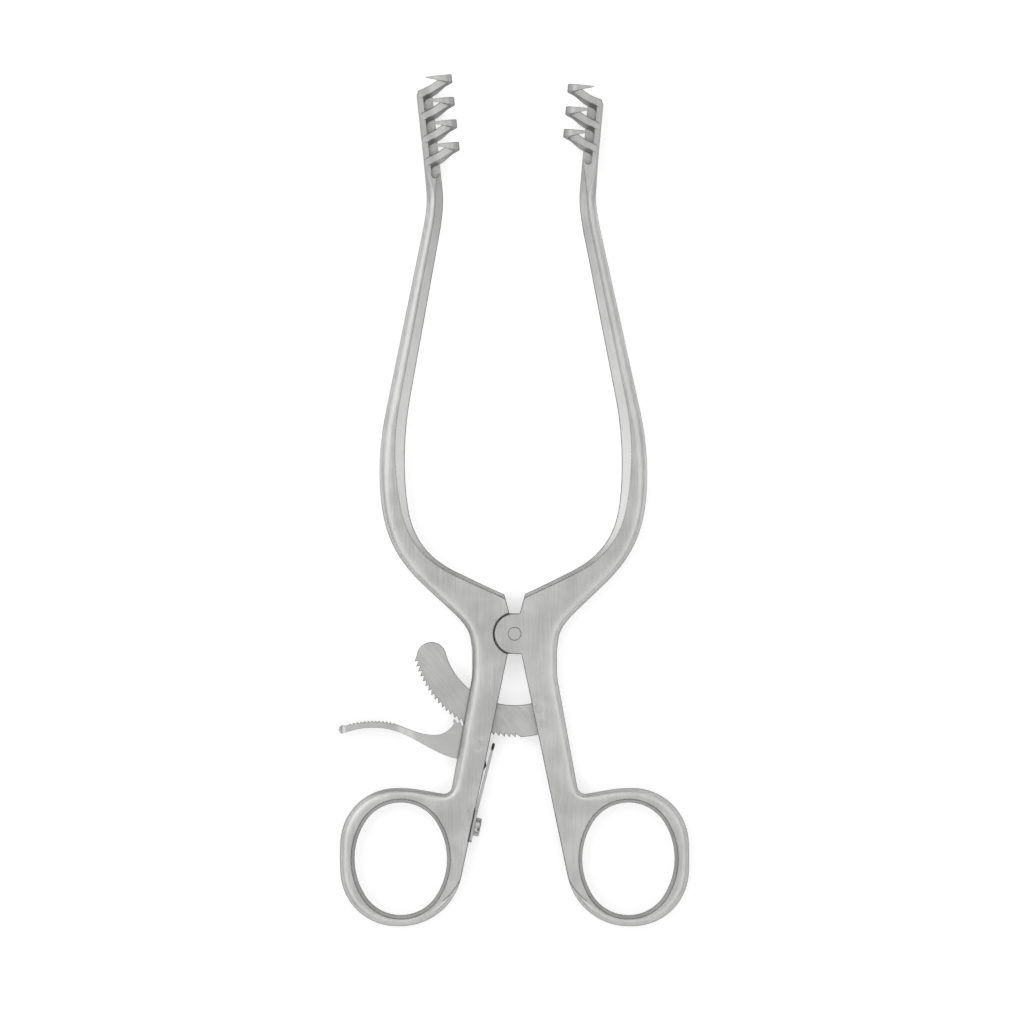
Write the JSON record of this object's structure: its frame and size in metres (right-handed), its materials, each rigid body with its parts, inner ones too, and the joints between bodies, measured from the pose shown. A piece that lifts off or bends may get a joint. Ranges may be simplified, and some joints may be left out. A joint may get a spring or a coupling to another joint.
{
  "type": "self retaining retractor",
  "caption": "Hand-held spreading retractor: two hinged arms with finger rings, hooked blades, a toothed locking bar and a sprung thumb release.",
  "frame": {"origin": "on the axis of the joint rivet, in the plane of the back faces on which the instrument lies", "axes": "+X to the right seen from the front, +Y along the instrument from the rings to the blades, +Z out of the front face, the way the hooks curl"},
  "size_m": [0.0823, 0.1996, 0.0092],
  "materials": {
    "satin_steel": "satin stainless steel",
    "bar_steel": "flat ground stainless steel",
    "lever_steel": "satin stainless steel",
    "rivet_steel": "ground flush stainless steel",
    "spring_steel": "hardened spring steel"
  },
  "bodies": {
    "left_arm": {"left_arm": "satin_steel", "joint_rivet": "rivet_steel", "lever_pin": "rivet_steel", "spring_screw": "spring_steel"},
    "right_arm": {"right_arm": "satin_steel", "ratchet_bar": "bar_steel", "bar_rivet_upper": "rivet_steel", "bar_rivet_lower": "rivet_steel"},
    "release_lever": {"release_lever": "lever_steel"},
    "leaf_spring": {"leaf_spring": "spring_steel"}
  },
  "joints": [
    {"name": "spread", "type": "hinge", "parent": "left_arm", "child": "right_arm", "pos_m": [0, 0, 0.0025], "axis": [0, 0, -1], "range_deg": [-12, 21]},
    {"name": "release", "type": "hinge", "parent": "left_arm", "child": "release_lever", "pos_m": [-0.0088, -0.0261, 0.0025], "axis": [0, 0, 1], "range_deg": [-5, 12], "stiffness_Nm_per_rad": 0.1, "springref_deg": -14.9},
    {"name": "spring_flex", "type": "hinge", "parent": "left_arm", "child": "leaf_spring", "pos_m": [-0.00901, -0.04201, 0.0025], "axis": [0, 0, -1], "range_deg": [-2.5, 6], "deforming": ["leaf_spring"]}
  ],
  "couplings": [
    {"joint": "spring_flex", "follows": "release", "ratio": 0.49}
  ]
}
